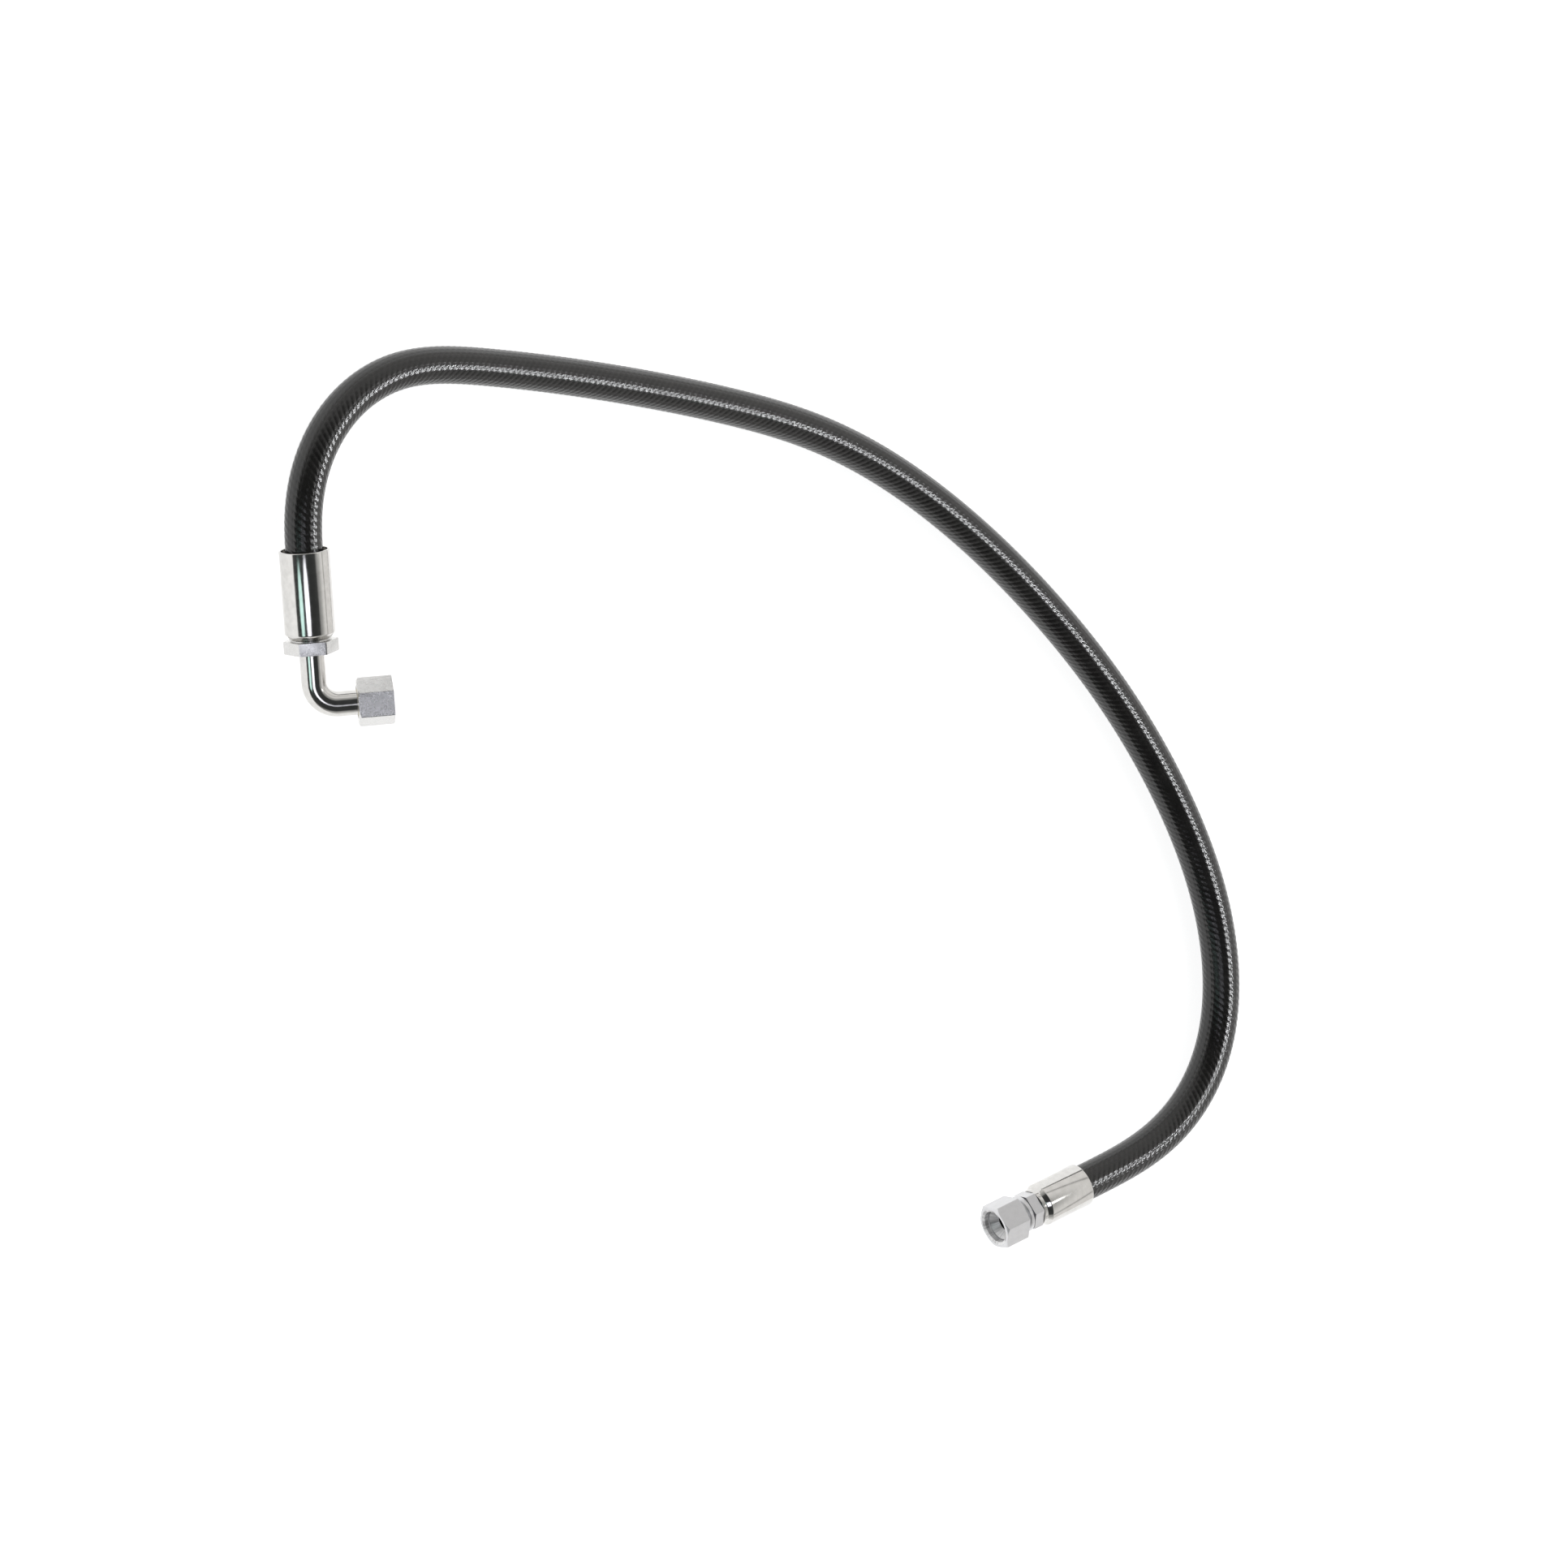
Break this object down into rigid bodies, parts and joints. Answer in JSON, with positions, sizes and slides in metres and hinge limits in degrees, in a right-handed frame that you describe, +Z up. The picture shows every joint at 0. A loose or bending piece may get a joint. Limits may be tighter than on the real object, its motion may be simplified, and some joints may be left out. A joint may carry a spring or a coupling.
{
  "type": "hydraulic hose assembly",
  "caption": "Two-wire hydraulic hose with crimped steel end fittings: a ninety degree elbow and a straight end, each with a hexagonal swivel nut on a cone seat.",
  "frame": {"origin": "on the surface that the assembly lies on, under the middle of the box around its metal end fittings", "axes": "-X out of the straight end's nut along its axis, +Y towards the elbow end, +Z up from the surface"},
  "size_m": [0.6244, 0.7139, 0.0532],
  "materials": {
    "rubber_cover": "semi-gloss black with a fine wrapped-cloth impression",
    "tube_rubber": "matt black",
    "wire_braid": "brass-coated wire",
    "zinc_bright": "bright zinc plate",
    "zinc_satin": "satin zinc plate",
    "spring_wire": "drawn wire",
    "braze_metal": "plated braze"
  },
  "bodies": {
    "hose_and_fittings": {"hose_inner_tube": "tube_rubber", "hose_inner_braid": "wire_braid", "hose_middle_rubber": "tube_rubber", "hose_outer_braid": "wire_braid", "hose_cover": "rubber_cover", "elbow_ferrule": "zinc_bright", "elbow_nipple": "zinc_satin", "elbow_collar_braze": "braze_metal", "elbow_tube": "zinc_bright", "elbow_nose": "zinc_satin", "elbow_nose_braze": "braze_metal", "elbow_thrust_wire": "spring_wire", "straight_ferrule": "zinc_bright", "straight_nipple": "zinc_satin", "straight_thrust_wire": "spring_wire"},
    "elbow_nut": {"elbow_nut": "zinc_satin"},
    "straight_nut": {"straight_nut": "zinc_satin"}
  },
  "joints": [
    {"name": "elbow_nut_swivel", "type": "hinge", "parent": "hose_and_fittings", "child": "elbow_nut", "pos_m": [-0.19143, 0.20699, 0.03582], "axis": [0.8438, -0.1947, 0.5], "continuous": true},
    {"name": "straight_nut_swivel", "type": "hinge", "parent": "hose_and_fittings", "child": "straight_nut", "pos_m": [0.1709, -0.2998, 0.0156], "axis": [-1, 0, 0], "continuous": true}
  ]
}
